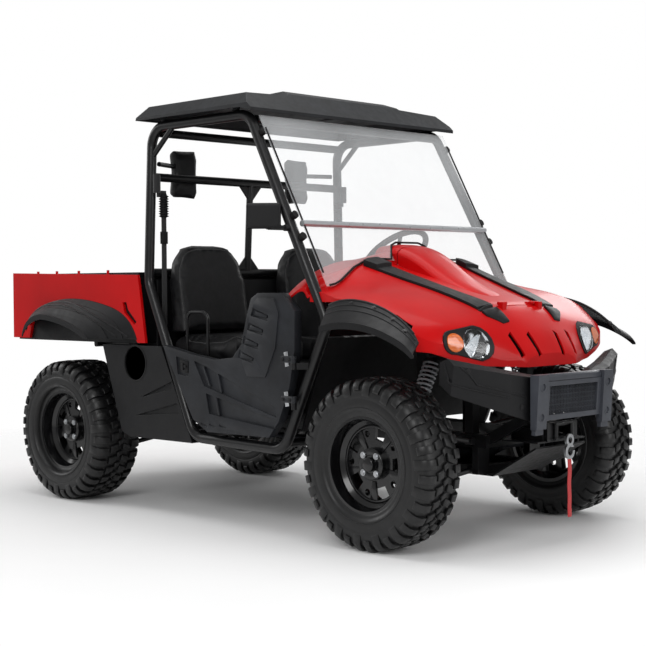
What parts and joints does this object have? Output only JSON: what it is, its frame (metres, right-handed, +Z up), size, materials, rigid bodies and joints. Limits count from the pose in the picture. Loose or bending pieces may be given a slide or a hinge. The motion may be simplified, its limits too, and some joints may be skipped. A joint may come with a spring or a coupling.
{
  "type": "side by side utility vehicle",
  "caption": "Two-seat off-road utility vehicle with roll cage, roof, windscreen, half doors, winch, steered front wheels and a tilting cargo bed with a drop tailgate.",
  "frame": {"origin": "on the ground, half way between the axles and between the outer ends of the body, on the centre line", "axes": "+X forward, +Y to the vehicle's left, +Z up"},
  "size_m": [2.95, 1.4751, 1.85],
  "materials": {
    "aluminium_rail": "drawn aluminium hinge profile",
    "black_plastic": "moulded black polypropylene, fine grain",
    "black_steel": "powder-coated steel tube, satin black",
    "black_webbing": "black belt webbing",
    "cast_metal": "cast gear cases and engine",
    "charcoal_plastic": "moulded charcoal door plastic",
    "clear_plastic": "clear polycarbonate sheet",
    "grey_steel": "powder-coated steel, dark silver grey",
    "lamp_glass": "clear lamp lens",
    "muffler_steel": "heat-dulled steel can",
    "red_lamp": "red lamp lens",
    "red_plastic": "glossy red moulded body panels",
    "red_webbing": "red woven strap",
    "rim_black": "gloss black wheel enamel",
    "seat_vinyl": "black vinyl seat cover",
    "spring_grey": "grey enamelled spring wire",
    "tyre_rubber": "moulded tyre rubber",
    "zinc_steel": "zinc-plated steel"
  },
  "bodies": {
    "root": {"chassis_frame": "black_steel", "cage_sides": "black_steel", "cage_cross_bars": "black_steel", "roof_panel": "black_plastic", "windscreen_panes": "clear_plastic", "windscreen_rail": "aluminium_rail", "windscreen_clamps": "black_plastic", "front_cowl": "red_plastic", "lamp_bezels": "black_plastic", "lamp_lenses": "lamp_glass", "front_flares": "black_plastic", "front_bumper": "black_plastic", "bumper_guard": "grey_steel", "winch": "black_steel", "winch_hook": "zinc_steel", "winch_strap": "red_webbing", "skid_plate": "black_steel", "front_suspension": "black_steel", "rear_suspension": "black_steel", "shock_absorbers": "black_steel", "coil_springs": "spring_grey", "drivetrain": "cast_metal", "engine_block": "cast_metal", "muffler": "muffler_steel", "floor_tub": "black_plastic", "dashboard": "black_plastic", "rear_side_panels": "black_plastic", "seats": "seat_vinyl", "headrests": "seat_vinyl", "grab_hoops": "black_steel", "seat_belts": "black_webbing", "hitch_receiver": "black_steel", "steering_column": "black_steel", "door_mirror": "black_plastic"},
    "hood": {"hood_panel": "red_plastic", "hood_strips": "black_plastic"},
    "steering_wheel": {"steering_wheel": "black_plastic"},
    "rack": {"steering_rack": "zinc_steel"},
    "knuckle_right": {"knuckle_right": "cast_metal"},
    "knuckle_left": {"knuckle_left": "cast_metal"},
    "wheel_front_right": {"tyre_front_right": "tyre_rubber", "rim_front_right": "rim_black"},
    "wheel_front_left": {"tyre_front_left": "tyre_rubber", "rim_front_left": "rim_black"},
    "wheel_rear_right": {"tyre_rear_right": "tyre_rubber", "rim_rear_right": "rim_black"},
    "wheel_rear_left": {"tyre_rear_left": "tyre_rubber", "rim_rear_left": "rim_black"},
    "door_right": {"door_right": "charcoal_plastic"},
    "door_left": {"door_left": "charcoal_plastic"},
    "bed": {"bed_tub": "black_steel", "bed_side_panels": "red_plastic", "rear_flares": "black_plastic", "tail_lamps": "red_lamp"},
    "tailgate": {"tailgate": "red_plastic"}
  },
  "joints": [
    {"name": "steering_wheel_turn", "type": "hinge", "parent": "root", "child": "steering_wheel", "pos_m": [0.245, 0.33, 1.15], "axis": [-0.6428, 0, 0.766], "range_deg": [-270, 270]},
    {"name": "steer_right", "type": "hinge", "parent": "root", "child": "knuckle_right", "pos_m": [0.975, -0.47, 0.33], "axis": [0, 0, 1], "range_deg": [-28, 28]},
    {"name": "steer_left", "type": "hinge", "parent": "root", "child": "knuckle_left", "pos_m": [0.975, 0.47, 0.33], "axis": [0, 0, 1], "range_deg": [-28, 28]},
    {"name": "rack_slide", "type": "slide", "parent": "root", "child": "rack", "axis": [0, 1, 0], "range_m": [-0.055, 0.055]},
    {"name": "wheel_front_right_spin", "type": "hinge", "parent": "knuckle_right", "child": "wheel_front_right", "pos_m": [0.975, -0.585, 0.33], "axis": [0, 1, 0], "continuous": true},
    {"name": "wheel_front_left_spin", "type": "hinge", "parent": "knuckle_left", "child": "wheel_front_left", "pos_m": [0.975, 0.585, 0.33], "axis": [0, 1, 0], "continuous": true},
    {"name": "wheel_rear_right_spin", "type": "hinge", "parent": "root", "child": "wheel_rear_right", "pos_m": [-0.975, -0.585, 0.33], "axis": [0, 1, 0], "continuous": true},
    {"name": "wheel_rear_left_spin", "type": "hinge", "parent": "root", "child": "wheel_rear_left", "pos_m": [-0.975, 0.585, 0.33], "axis": [0, 1, 0], "continuous": true},
    {"name": "door_right_hinge", "type": "hinge", "parent": "root", "child": "door_right", "pos_m": [0.612, -0.688, 0.62], "axis": [0, 0, 1], "range_deg": [0, 70]},
    {"name": "door_left_hinge", "type": "hinge", "parent": "root", "child": "door_left", "pos_m": [0.612, 0.688, 0.62], "axis": [0, 0, -1], "range_deg": [0, 70]},
    {"name": "hood_hinge", "type": "hinge", "parent": "root", "child": "hood", "pos_m": [1.193, 0, 0.935], "axis": [0, 1, 0], "range_deg": [0, 55]},
    {"name": "bed_tilt", "type": "hinge", "parent": "root", "child": "bed", "pos_m": [-1.3, 0, 0.716], "axis": [0, -1, 0], "range_deg": [0, 40]},
    {"name": "tailgate_hinge", "type": "hinge", "parent": "bed", "child": "tailgate", "pos_m": [-1.44, 0, 0.764], "axis": [0, -1, 0], "range_deg": [0, 90]}
  ],
  "couplings": [
    {"joint": "steer_right", "follows": "steering_wheel_turn", "ratio": 0.1037},
    {"joint": "steer_left", "follows": "steering_wheel_turn", "ratio": 0.1037},
    {"joint": "rack_slide", "follows": "steering_wheel_turn", "m_per_rad": 0.01061}
  ]
}
